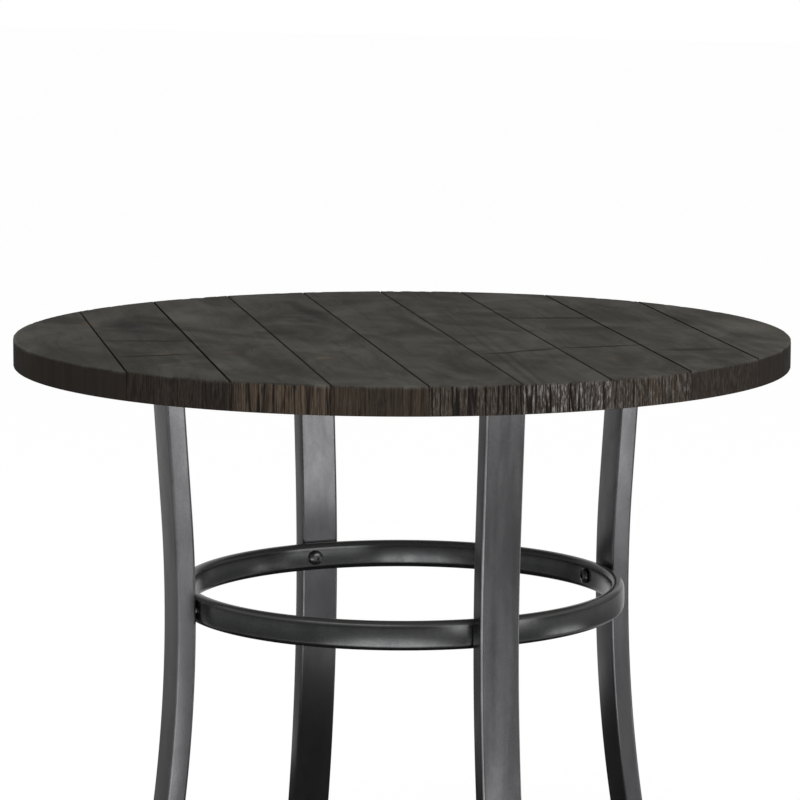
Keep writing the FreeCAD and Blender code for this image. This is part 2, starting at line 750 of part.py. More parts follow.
# Check everything, then write one file for each piece
doc.recompute()
failed = [thing.Label for thing in doc.Objects if {"Invalid", "Error"} & set(thing.State)]
if failed:
    raise RuntimeError(f"these did not build: {failed}")
for piece in nodes:
    if piece.Shape.isNull() or not piece.Shape.isValid():
        raise RuntimeError(f"{piece.Label} has no valid shape")
os.makedirs("parts", exist_ok=True)
for piece in nodes:
    piece.Shape.exportStep(f"parts/{piece.Label}.step")
    print(piece.Label, len(piece.Shape.Solids), "solids", round(piece.Shape.Volume), "mm3")
print(len(nodes), "nodes written")
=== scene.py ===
import json
import math

import bmesh
import bpy
from mathutils import Matrix, Vector


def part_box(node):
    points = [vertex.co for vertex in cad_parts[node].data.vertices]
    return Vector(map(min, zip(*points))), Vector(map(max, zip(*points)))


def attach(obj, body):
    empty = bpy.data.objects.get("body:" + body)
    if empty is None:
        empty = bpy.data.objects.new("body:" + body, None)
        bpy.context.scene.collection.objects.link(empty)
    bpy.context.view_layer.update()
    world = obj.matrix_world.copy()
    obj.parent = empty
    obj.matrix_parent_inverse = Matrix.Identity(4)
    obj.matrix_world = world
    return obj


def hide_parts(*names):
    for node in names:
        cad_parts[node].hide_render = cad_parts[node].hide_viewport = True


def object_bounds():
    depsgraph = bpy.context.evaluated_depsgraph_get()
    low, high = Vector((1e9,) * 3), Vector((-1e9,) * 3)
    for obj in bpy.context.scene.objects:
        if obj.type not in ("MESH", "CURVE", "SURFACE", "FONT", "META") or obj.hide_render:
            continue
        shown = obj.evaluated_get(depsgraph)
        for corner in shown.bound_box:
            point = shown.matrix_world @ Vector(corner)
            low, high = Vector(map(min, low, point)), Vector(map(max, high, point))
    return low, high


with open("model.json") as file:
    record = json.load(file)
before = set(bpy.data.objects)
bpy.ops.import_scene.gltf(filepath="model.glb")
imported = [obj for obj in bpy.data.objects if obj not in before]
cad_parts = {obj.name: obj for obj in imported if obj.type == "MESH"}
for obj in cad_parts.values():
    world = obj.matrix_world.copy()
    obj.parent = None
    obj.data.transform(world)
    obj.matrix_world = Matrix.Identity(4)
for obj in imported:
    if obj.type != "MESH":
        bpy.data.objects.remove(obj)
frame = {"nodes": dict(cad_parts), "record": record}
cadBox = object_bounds()

# Places that the pieces below are worked out from
topHeight = cadBox[1].z
topRadius = cadBox[1].x
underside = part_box("plank_5")[0].z
topThickness = topHeight - underside
boardCount = 9
boardWidth = 2 * topRadius / boardCount
boardAngle = math.radians(32.5)
legAngles = [math.radians(45 + 90 * step) for step in range(4)]
close = 2e-5  # places nearer than this count as one
levelNormal = 0.99  # the height of a level face's normal is over this


# Modelling by hand: small steps that every piece uses
def selectOnly(piece):
    if bpy.context.object and bpy.context.object.mode == "EDIT":
        bpy.ops.object.mode_set(mode="OBJECT")
    bpy.ops.object.select_all(action="DESELECT")
    piece.select_set(True)
    bpy.context.view_layer.objects.active = piece


def selectAll():
    bpy.ops.mesh.select_all(action="SELECT")


def startEditing(piece):
    selectOnly(piece)
    bpy.ops.object.mode_set(mode="EDIT")
    selectAll()


def stopEditing():
    bpy.ops.object.mode_set(mode="OBJECT")


def pick(kind, test):
    # selects the verts, edges or faces of the edited mesh that pass the test
    bpy.ops.mesh.select_mode(type={"verts": "VERT", "edges": "EDGE", "faces": "FACE"}[kind])
    bpy.ops.mesh.select_all(action="DESELECT")
    shape = bmesh.from_edit_mesh(bpy.context.object.data)
    for item in getattr(shape, kind):
        if test(item):
            item.select_set(True)
    shape.select_flush_mode()
    bmesh.update_edit_mesh(bpy.context.object.data)


def slicePiece(point, normal, threshold=close, **sides):
    selectAll()
    bpy.ops.mesh.bisect(plane_co=point, plane_no=normal, use_fill=bool(sides), threshold=threshold, **sides)


def closeShell(threshold):
    # merges the verts that are nearer than the threshold, and turns all faces outwards
    selectAll()
    bpy.ops.mesh.remove_doubles(threshold=threshold)
    bpy.ops.mesh.normals_make_consistent(inside=False)


def settle(piece):
    # the piece's place goes into its mesh, and its object to the origin
    selectOnly(piece)
    bpy.ops.object.transform_apply(location=True, rotation=True, scale=True)


def applyModifier(piece, kind, **settings):
    selectOnly(piece)
    modifier = piece.modifiers.new(kind.title(), kind)
    for name, value in settings.items():
        setattr(modifier, name, value)
    bpy.ops.object.modifier_apply(modifier=modifier.name)


def smoothUnder(degrees):
    # the selected piece, where its faces meet at less than this angle
    bpy.ops.object.shade_smooth_by_angle(angle=math.radians(degrees))


def weigh(piece, name, weightOf):
    # vertex group whose weights, in tenths, come from the verts' places
    group = piece.vertex_groups.new(name=name)
    levels = {}
    for vertex in piece.data.vertices:
        levels.setdefault(round(10 * weightOf(vertex.co)), []).append(vertex.index)
    for level, indices in levels.items():
        if level > 0:
            group.add(indices, level / 10, "REPLACE")
    return name


def addCylinder(name, faces, radius, depth, place, turn=(0, 0, 0)):
    bpy.ops.mesh.primitive_cylinder_add(
        vertices=faces, radius=radius, depth=depth, location=place, rotation=turn
    )
    cylinder = bpy.context.object
    cylinder.name = name
    settle(cylinder)
    return cylinder


def addOutline(name, place, turn, size, shape):
    # rounded rectangle of edges, left in edit mode to be spun into a tube
    bpy.ops.mesh.primitive_plane_add(size=1, location=place, rotation=turn)
    outline = bpy.context.object
    outline.name = name
    outline.scale = (*size, 1)
    settle(outline)
    startEditing(outline)
    bpy.ops.mesh.select_mode(type="VERT")
    bpy.ops.mesh.bevel(offset=shape["corner"], segments=shape["cornerSteps"], affect="VERTICES")
    bpy.ops.mesh.delete(type="ONLY_FACE")
    return outline


def duplicatePiece(piece, name, turn=0.0):
    # a copy with its own mesh, turned round the table's middle
    copy = piece.copy()
    copy.data = piece.data.copy()
    copy.name = name
    bpy.context.scene.collection.objects.link(copy)
    if turn:
        copy.rotation_euler.z = turn
        settle(copy)
    return copy


def removeObjects(*things):
    for thing in things:
        bpy.data.objects.remove(thing)


def makeTexture(name, kind, span, settings):
    # its values in the span, where one is given, are spread from black to white
    texture = bpy.data.textures.new(f"{name}Texture", kind)
    for label, value in settings.items():
        setattr(texture, label, value)
    if span:
        texture.use_color_ramp = True
        for element, place, level in zip(texture.color_ramp.elements, span, (0, 1)):
            element.position = place
            element.color = (level, level, level, 1)
    return texture


def finishWith(piece, material):
    piece.data.materials.clear()
    piece.data.materials.append(material)


def dress(piece, body, slot, material, *replaced):
    finishWith(piece, material)
    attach(piece, body)
    if replaced:
        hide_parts(*replaced)


# Camera at the photo's viewing angle
cameraView = {
    "place": (2.0732, -5.0122, 1.580),
    "turn": math.radians(22.5),
    "pitchDown": 0.1400,
    "roll": 0.0026,
    "lens": 166.5,
    "sensor": 36,
    "farthest": 60,
}


def makeCamera(view):
    bpy.ops.object.camera_add(location=view["place"])
    camera = bpy.context.object
    camera.name = "photoCamera"
    camera.data.lens = view["lens"]
    camera.data.sensor_width = view["sensor"]
    camera.data.clip_end = view["farthest"]
    aim = Matrix.Rotation(view["turn"], 4, "Z")
    aim = aim @ Matrix.Rotation(math.pi / 2 - view["pitchDown"], 4, "X")
    aim = aim @ Matrix.Rotation(view["roll"], 4, "Z")
    camera.rotation_euler = aim.to_euler()
    bpy.context.scene.camera = camera


# Node helpers
noiseSpan = (0.3, 0.7)  # nearly all of a noise's values lie in it


def fillInputs(tree, node, inputs):
    # each with a socket's value or a fixed one
    for name, value in inputs.items():
        if isinstance(value, bpy.types.NodeSocket):
            tree.links.new(value, node.inputs[name])
        else:
            node.inputs[name].default_value = value


def addNode(tree, kind, inputs=None, **settings):
    node = tree.nodes.new(kind)
    for name, value in settings.items():
        setattr(node, name, value)
    fillInputs(tree, node, inputs or {})
    return node


def maths(tree, operation, first, second=0.0, third=0.0):
    return addNode(tree, "ShaderNodeMath", {0: first, 1: second, 2: third}, operation=operation).outputs[0]


def vectorMaths(tree, operation, first, second=(0, 0, 0)):
    node = addNode(tree, "ShaderNodeVectorMath", {0: first, 1: second}, operation=operation)
    givesNumber = operation in ("LENGTH", "DISTANCE", "DOT_PRODUCT")
    return node.outputs["Value" if givesNumber else "Vector"]


def scaleVector(tree, vector, share):
    return addNode(tree, "ShaderNodeVectorMath", {0: vector, "Scale": share}, operation="SCALE").outputs[0]


def splitVector(tree, vector):
    return addNode(tree, "ShaderNodeSeparateXYZ", {0: vector}).outputs


def ramp(tree, value, low, high, toLow=0.0, toHigh=1.0):
    inputs = {"Value": value, "From Min": low, "From Max": high, "To Min": toLow, "To Max": toHigh}
    return addNode(tree, "ShaderNodeMapRange", inputs, interpolation_type="SMOOTHSTEP").outputs[0]


def spread(tree, value, toLow=0.0, toHigh=1.0):
    return ramp(tree, value, *noiseSpan, toLow, toHigh)


def mixColour(tree, factor, first, second, blend="MIX"):
    inputs = {0: factor}
    for index, colour in ((6, first), (7, second)):  # the mix node's two colour inputs
        inputs[index] = colour if isinstance(colour, bpy.types.NodeSocket) else (*colour, 1)
    return addNode(tree, "ShaderNodeMix", inputs, data_type="RGBA", blend_type=blend).outputs[2]


def tint(tree, colour, share):
    # the colour times a number, fixed or from a socket
    shade = [share] * 3
    if isinstance(share, bpy.types.NodeSocket):
        inputs = {"Red": share, "Green": share, "Blue": share}
        shade = addNode(tree, "ShaderNodeCombineColor", inputs).outputs[0]
    return mixColour(tree, 1.0, colour, shade, "MULTIPLY")


def noise(tree, vector, stretch, scale, detail=3.0, roughness=0.5, distortion=0.0):
    moved = addNode(tree, "ShaderNodeMapping", {"Vector": vector, "Scale": stretch}).outputs[0]
    inputs = {
        "Vector": moved, "Scale": scale, "Detail": detail,
        "Roughness": roughness, "Distortion": distortion,
    }
    return addNode(tree, "ShaderNodeTexNoise", inputs).outputs["Fac"]


def alongBoards(tree, place):
    # the same place with Y along the boards
    return addNode(tree, "ShaderNodeMapping", {"Vector": place, "Rotation": (0, 0, -boardAngle)}).outputs[0]


def newGroup(name, inputs, outputs):
    # its inputs are given as name: (kind, value), and each output is a number
    group = bpy.data.node_groups.new(name, "ShaderNodeTree")
    for label, (kind, value) in inputs.items():
        socket = group.interface.new_socket(name=label, in_out="INPUT", socket_type=f"NodeSocket{kind}")
        if value is not None:
            socket.default_value = value
    for label in outputs:
        group.interface.new_socket(name=label, in_out="OUTPUT", socket_type="NodeSocketFloat")
    start = group.nodes.new("NodeGroupInput")
    end = group.nodes.new("NodeGroupOutput")
    return group, start.outputs, end


def useGroup(tree, group, inputs):
    return addNode(tree, "ShaderNodeGroup", inputs, node_tree=group).outputs


def newMaterial(name):
    material = bpy.data.materials.new(name)
    material.use_nodes = True
    tree = material.node_tree
    tree.nodes.clear()
    shader = addNode(tree, "ShaderNodeBsdfPrincipled")
    addNode(tree, "ShaderNodeOutputMaterial", {"Surface": shader.outputs[0]})
    place = addNode(tree, "ShaderNodeTexCoord").outputs["Object"]
    return material, tree, shader, place


def bump(tree, height, distance, strength):
    inputs = {"Height": height, "Distance": distance, "Strength": strength}
    return addNode(tree, "ShaderNodeBump", inputs).outputs[0]


# Stage: a pale floor that keeps the shadow, white behind, and two large soft lamps
stageLook = {
    "floorSize": 60,
    "floorColour": (0.8, 0.8, 0.8),
    "floorRoughness": 0.9,
    "floorGlow": 0.92,
    "floorHidden": 0.8,
    "worldLight": 0.42,
    # what gloss sees: a white floor and wall, the table's own shade, and a dim room otherwise
    "roomInGloss": 0.12,
    "ceilingInGloss": 0.4,
    "ceilingRise": (0.2, 0.5),
    "wallInGloss": 0.6,
    "wallReach": (0.8, 0.96),
    "floorInGloss": 0.5,
    "floorReach": (1.0, 1.7),
    "shadeInGloss": 0.03,
    "shadePlace": (-0.25, 0.10, 0.0),
    "shadeReach": (0.8, 1.05),
    # bright places on the floor: place, inner and outer reach, strength
    "patches": (
        ((0.45, -1.45, 0.0), 0.35, 1.05, 2.8),
        ((1.75, 0.62, 0.0), 0.25, 0.55, 2.4),
    ),
    # share of the lit floor that gloss doesn't see, near the table and far from it
    "hiddenInGloss": (0.95, 0.3),
    "hiddenReach": (1.0, 4.5),
    "lamps": {
        # name: (azimuth from the camera, elevation, distance, width, height, watts)
        "keyLamp": (45, 12, 4.0, 3.4, 2.4, 46),
        "topLamp": (-30, 60, 3.4, 2.6, 2.6, 38),
    },
}


def wallShine(tree, direction, look):
    # the white wall that gloss sees behind the table
    viewDirection = (-math.sin(cameraView["turn"]), math.cos(cameraView["turn"]), 0)
    facing = vectorMaths(tree, "DOT_PRODUCT", direction, viewDirection)
    return ramp(tree, facing, *look["wallReach"], 0.0, look["wallInGloss"])


def floorShine(tree, place, away, look):
    # how bright gloss sees each place on the floor
    shine = ramp(tree, away, *look["floorReach"], look["floorInGloss"], look["roomInGloss"])
    for spot, inner, outer, strength in look["patches"]:
        aside = vectorMaths(tree, "DISTANCE", place, spot)
        shine = maths(tree, "MAXIMUM", shine, ramp(tree, aside, inner, outer, strength, 0.0))
    wall = wallShine(tree, vectorMaths(tree, "NORMALIZE", place), look)
    shine = maths(tree, "MAXIMUM", shine, wall)
    aside = vectorMaths(tree, "DISTANCE", place, look["shadePlace"])
    clear = ramp(tree, aside, *look["shadeReach"], look["shadeInGloss"], 1.0)
    return maths(tree, "MULTIPLY", shine, clear)


def makeFloor(look):
    bpy.ops.mesh.primitive_plane_add(size=look["floorSize"])
    floor = bpy.context.object
    floor.name = "studioFloor"
    material, tree, shader, place = newMaterial("paleFloor")
    fillInputs(tree, shader, {
        "Base Color": (*look["floorColour"], 1), "Roughness": look["floorRoughness"],
        "Specular IOR Level": 0.0,
    })
    away = vectorMaths(tree, "LENGTH", place)
    rays = addNode(tree, "ShaderNodeLightPath").outputs
    gloss = maths(tree, "MULTIPLY", rays["Is Glossy Ray"], floorShine(tree, place, away, look))
    seen = maths(tree, "MAXIMUM", rays["Is Camera Ray"], gloss)
    seen = maths(tree, "MAXIMUM", seen, rays["Is Transmission Ray"])
    # what the camera sees is mostly plain white, with a share of the lit floor that keeps the shadow
    glow = maths(tree, "MULTIPLY", seen, look["floorGlow"])
    white = addNode(tree, "ShaderNodeEmission", {"Color": (1, 1, 1, 1), "Strength": glow})
    hidden = ramp(tree, away, *look["hiddenReach"], *look["hiddenInGloss"])
    hidden = maths(tree, "MULTIPLY", rays["Is Glossy Ray"], hidden)
    hidden = maths(tree, "MAXIMUM", hidden, maths(tree, "MULTIPLY", seen, look["floorHidden"]))
    lit = addNode(tree, "ShaderNodeMixShader", {0: hidden, 1: shader.outputs[0]})
    both = addNode(tree, "ShaderNodeAddShader", {0: lit.outputs[0], 1: white.outputs[0]})
    fillInputs(tree, tree.nodes["Material Output"], {"Surface": both.outputs[0]})
    finishWith(floor, material)


def makeWorld(look):
    world = bpy.data.worlds.new("softWorld")
    world.use_nodes = True
    tree = world.node_tree
    tree.nodes.clear()
    rays = addNode(tree, "ShaderNodeLightPath").outputs
    ahead = addNode(tree, "ShaderNodeTexCoord").outputs["Generated"]
    height = splitVector(tree, ahead)["Z"]
    above = ramp(tree, height, *look["ceilingRise"], look["roomInGloss"], look["ceilingInGloss"])
    around = maths(tree, "MAXIMUM", wallShine(tree, ahead, look), above)
    seen = maths(tree, "MAXIMUM", rays["Is Camera Ray"], rays["Is Transmission Ray"])
    seen = maths(tree, "MAXIMUM", seen, maths(tree, "MULTIPLY", rays["Is Glossy Ray"], around))
    light = maths(tree, "MULTIPLY", rays["Is Diffuse Ray"], look["worldLight"])
    strength = maths(tree, "MAXIMUM", seen, light)
    sky = addNode(tree, "ShaderNodeBackground", {"Color": (1, 1, 1, 1), "Strength": strength})
    addNode(tree, "ShaderNodeOutputWorld", {"Surface": sky.outputs[0]})
    bpy.context.scene.world = world


def makeLamps(look):
    for name, (azimuth, elevation, distance, width, height, watts) in look["lamps"].items():
        around = math.radians(azimuth) + cameraView["turn"]
        up = math.radians(elevation)
        away = Vector((math.sin(around) * math.cos(up), -math.cos(around) * math.cos(up), math.sin(up)))
        bpy.ops.object.light_add(type="AREA", location=away * distance + Vector((0, 0, topHeight / 2)))
        lamp = bpy.context.object
        lamp.name = name
        lamp.data.shape = "RECTANGLE"
        lamp.data.size = width
        lamp.data.size_y = height
        lamp.data.energy = watts
        lamp.rotation_euler = away.to_track_quat("Z", "Y").to_euler()


makeCamera(cameraView)
makeFloor(stageLook)
makeWorld(stageLook)
makeLamps(stageLook)
bpy.context.scene.view_settings.view_transform = "Standard"
print("camera and stage are up")

# Shared patterns of wood and metal, shifted differently for each piece
shiftStep = (3.7, 1.9, 0.8)
woodDrift = {
    "noise": ((1, 0.5, 1), 7.0, 2.0),
    "reach": (0.2, 0.8, -0.012, 0.012),
}
woodPatterns = {
    # name: (wanders with the drift, stretch, scale, detail, roughness, any distortion)
    "Streak": (True, (1, 0.03, 1), 520.0, 4.0, 0.65),
    "Figure": (True, (1, 0.06, 1), 62.0, 4.0, 0.6, 0.6),
    "Patch": (False, (1, 0.5, 1), 9.0, 5.0, 0.62, 0.8),
    "Chatter": (False, (0.05, 1, 1), 150.0, 3.0, 0.6),
}
metalPatterns = {
    # name: (stretch, scale, detail, roughness, any distortion)
    "Mottle": ((1, 1, 0.45), 26.0, 5.0, 0.62, 0.5),
    "Brushing": ((1, 1, 0.02), 900.0, 3.0, 0.6),
    "Speckle": ((1, 1, 1), 480.0, 3.0, 0.7),
    "Band": ((1, 1, 0.08), 38.0, 2.0, 0.5, 0.4),
}


def newPatternGroup(name, patterns):
    inputs = {"Vector": ("Vector", None), "Shift": ("Float", 0.0)}
    group, start, end = newGroup(name, inputs, patterns)
    moved = vectorMaths(group, "ADD", start["Vector"], scaleVector(group, shiftStep, start["Shift"]))
    return group, moved, end


def makeWoodGroup(drift, patterns):
    # grain of a board that lies along Y: streaks, broad figure, stained patches and saw chatter
    group, moved, end = newPatternGroup("woodGrain", patterns)
    sway = ramp(group, noise(group, moved, *drift["noise"]), *drift["reach"])
    aside = addNode(group, "ShaderNodeCombineXYZ", {"X": sway}).outputs[0]
    bent = vectorMaths(group, "ADD", moved, aside)
    for label, (wanders, *settings) in patterns.items():
        fillInputs(group, end, {label: noise(group, bent if wanders else moved, *settings)})
    return group


def makeMetalGroup(patterns):
    # lacquered metal: mottle, fine brushing, speckle, and soft bands along the tube
    group, moved, end = newPatternGroup("lacqueredMetal", patterns)
    for label, settings in patterns.items():
        fillInputs(group, end, {label: noise(group, moved, *settings)})
    return group


woodGroup = makeWoodGroup(woodDrift, woodPatterns)
metalGroup = makeMetalGroup(metalPatterns)


def addSpeckle(tree, spot, colour, share):
    return tint(tree, colour, spread(tree, spot["Speckle"], 1 - share, 1 + share))


# Zones of the round top: how far in from the rim, down from the face or up from below they fade
topZones = {
    "wallInset": (0.0035, 0.0055),
    "wallDepth": (0.0012, 0.0026),
    "wallRise": (0.0002, 0.0008),
    "edge": (0.0022, 0.006),
    "grooveDepth": (0.0006, 0.0012),
    "grooveRise": (0.004, 0.008),
    "crackShadeInset": (0.0008, 0.0018),
}


def makeZoneGroup(zones):
    # where a point lies: on the rim's wall, near its edge, in a groove, or deep in a crack where painted
    # shade goes
    inputs = {
        "Vector": ("Vector", None), "Radius": ("Float", topRadius),
        "Height": ("Float", topHeight), "Bottom": ("Float", underside),
    }
    group, start, end = newGroup("topPlaces", inputs, ("Wall", "Edge", "Groove", "Crack"))
    parts = splitVector(group, start["Vector"])
    flat = addNode(group, "ShaderNodeCombineXYZ", {"X": parts["X"], "Y": parts["Y"]}).outputs[0]
    inset = maths(group, "SUBTRACT", start["Radius"], vectorMaths(group, "LENGTH", flat))
    depth = maths(group, "SUBTRACT", start["Height"], parts["Z"])
    rise = maths(group, "SUBTRACT", parts["Z"], start["Bottom"])
    outer = ramp(group, inset, *zones["wallInset"], 1.0, 0.0)
    below = ramp(group, depth, *zones["wallDepth"])
    above = ramp(group, rise, *zones["wallRise"])
    wall = maths(group, "MULTIPLY", maths(group, "MULTIPLY", outer, below), above)
    nearTop = ramp(group, depth, *zones["edge"], 1.0, 0.0)
    nearRim = ramp(group, inset, *zones["edge"], 1.0, 0.0)
    edge = maths(group, "MULTIPLY", nearTop, nearRim)
    inner = maths(group, "SUBTRACT", 1.0, outer)
    groove = maths(group, "MULTIPLY", ramp(group, depth, *zones["grooveDepth"]), inner)
    groove = maths(group, "MULTIPLY", groove, ramp(group, rise, *zones["grooveRise"]))
    # painted shade: the rim's wall goes dark where it lies deepest in a crack
    crack = maths(group, "MULTIPLY", ramp(group, inset, *zones["crackShadeInset"]), wall)
    fillInputs(group, end, {"Wall": wall, "Edge": edge, "Groove": groove, "Crack": crack})
    return group


# Marks on the top, in metres across and along the boards: place, half sizes, turn, strength
topMarks = {
    "dark": (
        (-0.376, -0.029, 0.068, 0.007, -9, 1.0), (-0.386, -0.194, 0.060, 0.007, 10, 1.0),
        (0.263, 0.160, 0.072, 0.009, -9, 1.0), (0.134, -0.224, 0.072, 0.007, 21, 1.0),
        (0.254, -0.191, 0.068, 0.007, 8, 1.0), (0.378, -0.245, 0.050, 0.016, 0, 0.6),
        (-0.092, 0.298, 0.145, 0.016, -85, 0.6), (-0.229, -0.336, 0.115, 0.035, -80, 0.5),
        (-0.388, 0.133, 0.08, 0.034, -80, 0.55), (-0.335, 0.149, 0.06, 0.018, -72, 0.4),
        (-0.289, -0.060, 0.06, 0.022, -50, 0.45), (0.024, -0.424, 0.10, 0.035, -80, 0.5),
        (-0.115, 0.192, 0.035, 0.012, -79, 0.5), (0.439, 0.128, 0.09, 0.02, -84, 0.4),
        (0.499, -0.104, 0.06, 0.02, -64, 0.4), (0.06, -0.12, 0.05, 0.03, -20, 0.35),
        (0.30, 0.02, 0.05, 0.028, 10, 0.3), (-0.18, 0.04, 0.045, 0.03, 15, 0.35),
    ),
    "pale": (
        (0.056, 0.103, 0.12, 0.007, -88, 0.5), (0.182, 0.266, 0.035, 0.010, -35, 0.45),
        (0.156, -0.002, 0.045, 0.010, -51, 0.4), (0.20, -0.05, 0.05, 0.03, -60, 0.3),
        (0.33, 0.06, 0.06, 0.03, 0, 0.25), (0.52, 0.02, 0.10, 0.03, -80, 0.3),
        (-0.04, -0.30, 0.08, 0.03, -75, 0.25), (-0.30, 0.25, 0.10, 0.03, -80, 0.25),
    ),
    "knot": (
        (-0.374, -0.179, 0.013, 0.009, 0, 0.6), (-0.157, -0.258, 0.014, 0.010, 0, 0.65),
        (-0.443, 0.184, 0.030, 0.008, -80, 0.5), (-0.282, -0.171, 0.014, 0.009, 0, 0.35),
        (0.24, -0.33, 0.02, 0.008, -70, 0.3),
    ),
}
markEdge = {
    "noiseScale": 38.0,
    "noiseDetail": 4.0,
    "sway": 0.014,
    "fade": (0.4, 1.4),
}


def makeMarkGroup(marks, edge):
    # soft oval masks with broken outlines, where the marks lie
    group, start, end = newGroup("boardMarks", {"Vector": ("Vector", None)}, marks)
    flat = addNode(group, "ShaderNodeMapping", {"Vector": start["Vector"], "Scale": (1, 1, 0)}).outputs[0]
    inputs = {"Vector": flat, "Scale": edge["noiseScale"], "Detail": edge["noiseDetail"]}
    sway = addNode(group, "ShaderNodeTexNoise", inputs).outputs["Color"]
    sway = vectorMaths(group, "SUBTRACT", sway, (0.5, 0.5, 0.5))
    bent = vectorMaths(group, "ADD", flat, scaleVector(group, sway, edge["sway"]))
    for kind, spots in marks.items():
        mask = 0.0
        for across, along, half, width, turn, strength in spots:
            oval = {
                "Vector": bent, "Location": (across, along, 0),
                "Rotation": (0, 0, math.radians(turn)), "Scale": (half, width, 1),
            }
            inside = addNode(group, "ShaderNodeMapping", oval, vector_type="TEXTURE").outputs[0]
            reach = vectorMaths(group, "LENGTH", inside)
            mask = maths(group, "MAXIMUM", ramp(group, reach, *edge["fade"], strength, 0.0), mask)
        fillInputs(group, end, {kind: mask})
    return group


zoneGroup = makeZoneGroup(topZones)
markGroup = makeMarkGroup(topMarks, markEdge)

# Stained boards: charcoal brown, each with its own tone, and end grain that shows on the rim
boardStain = {
    "mark": (0.016, 0.014, 0.012),
    "dark": (0.034, 0.0305, 0.0255),
    "middle": (0.070, 0.0645, 0.0545),
    "pale": (0.125, 0.116, 0.098),
    "knot": (0.125, 0.090, 0.055),
    "rimDark": (0.026, 0.022, 0.019),
    "rimBrown": (0.108, 0.077, 0.053),
    "rimGrey": (0.20, 0.192, 0.184),
    # dark joints and grain lines, and painted shade deep in the rim's cracks
    "darkLinesAndCrackShade": (0.016, 0.013, 0.011),
    # how patterns become shares of a colour: values from and to, then the shares they give
    "figure": (0.2, 0.6, 0.35, 1.0),
    "streak": (0.5, 0.85, 0.0, 0.3),
    "smudge": (0.36, 0.55, 0.5, 0.0),
    "haze": (0.5, 0.75, 0.0, 0.4),
    "wornEdge": (0.45, 0.68, 0.0, 0.25),
    # end grain: stretch, scale, detail and roughness of each pattern, and its values from and to
    "bandNoise": ((1, 0.02, 0.035), 130.0, 3.0, 0.6),
    "bandSpan": (0.3, 0.62),
    "leastBrown": 0.35,
    "fibreNoise": ((1, 0.1, 0.22), 420.0, 3.0, 0.65),
    "fibreSpan": (0.43, 0.66),
    "lineNoise": ((1, 0.02, 0.035), 300.0, 2.0, 0.6),
    "lineSpan": (0.01, 0.07),
    # one value for each joint, with the two outer ends of the row left plain
    "seamShare": (0.0, 0.25, 0.95, 0.95, 0.7, 0.75, 0.85, 0.9, 0.9, 0.0),
    "seamReach": (0.0012, 0.0026),
    # one value for each board, from the far left one to the far right one
    "tone": (0.93, 0.84, 0.99, 0.95, 0.93, 0.99, 1.03, 1.06, 1.24),
    "rimTone": (0.9, 0.88, 1.06, 0.78, 1.1, 1.45, 1.1, 0.92, 1.0),
    "rimBrownShare": (0.15, 0.25, 0.95, 0.6, 0.35, 0.25, 0.5, 0.25, 0.15),
    "rimGreyShare": (0.0, 0.1, 0.15, 0.1, 0.35, 1.0, 0.55, 0.15, 0.0),
    "rimLineShare": (0.1, 0.75, 0.8, 0.6, 0.8, 0.9, 0.8, 0.4, 0.15),
    "firstShift": 1.0,
    "nextShift": 0.731,
    "roughness": (0.82, 0.66),
    "sheen": 0.08,
    "relief": 0.5,
    "bump": (0.0003, 0.5),
}


def stainFace(tree, turned, grain, number, stain):
    # figure, streaks and smudges, then the marks, then a dark line along each joint
    colour = mixColour(tree, ramp(tree, grain["Figure"], *stain["figure"]), stain["dark"], stain["middle"])
    layers = (("Streak", "streak", "pale"), ("Patch", "smudge", "dark"), ("Patch", "haze", "pale"))
    for pattern, span, over in layers:
        colour = mixColour(tree, ramp(tree, grain[pattern], *stain[span]), colour, stain[over])
    mark = useGroup(tree, markGroup, {"Vector": turned})
    for kind, over in (("pale", "pale"), ("dark", "mark"), ("knot", "knot")):
        colour = mixColour(tree, mark[kind], colour, stain[over])
    colour = tint(tree, colour, stain["tone"][number])
    sideways = splitVector(tree, turned)["X"]
    for joint in (number, number + 1):
        aside = maths(tree, "SUBTRACT", sideways, joint * boardWidth - topRadius)
        aside = maths(tree, "ABSOLUTE", aside)
        seam = ramp(tree, aside, *stain["seamReach"], stain["seamShare"][joint], 0.0)
        colour = mixColour(tree, seam, colour, stain["darkLinesAndCrackShade"])
    return colour


def stainRim(tree, turned, number, stain):
    # sawn end grain: brown bands, grey fibres and thin dark lines
    most = stain["rimBrownShare"][number]
    bands = noise(tree, turned, *stain["bandNoise"])
    brown = ramp(tree, bands, *stain["bandSpan"], stain["leastBrown"] * most, most)
    colour = mixColour(tree, brown, stain["rimDark"], stain["rimBrown"])
    fibres = noise(tree, turned, *stain["fibreNoise"])
    grey = ramp(tree, fibres, *stain["fibreSpan"], 0.0, stain["rimGreyShare"][number])
    colour = mixColour(tree, grey, colour, stain["rimGrey"])
    lines = maths(tree, "SUBTRACT", noise(tree, turned, *stain["lineNoise"]), 0.5)
    lines = maths(tree, "ABSOLUTE", lines)
    line = ramp(tree, lines, *stain["lineSpan"], stain["rimLineShare"][number], 0.0)
    colour = mixColour(tree, line, colour, stain["darkLinesAndCrackShade"])
    return tint(tree, colour, stain["rimTone"][number])


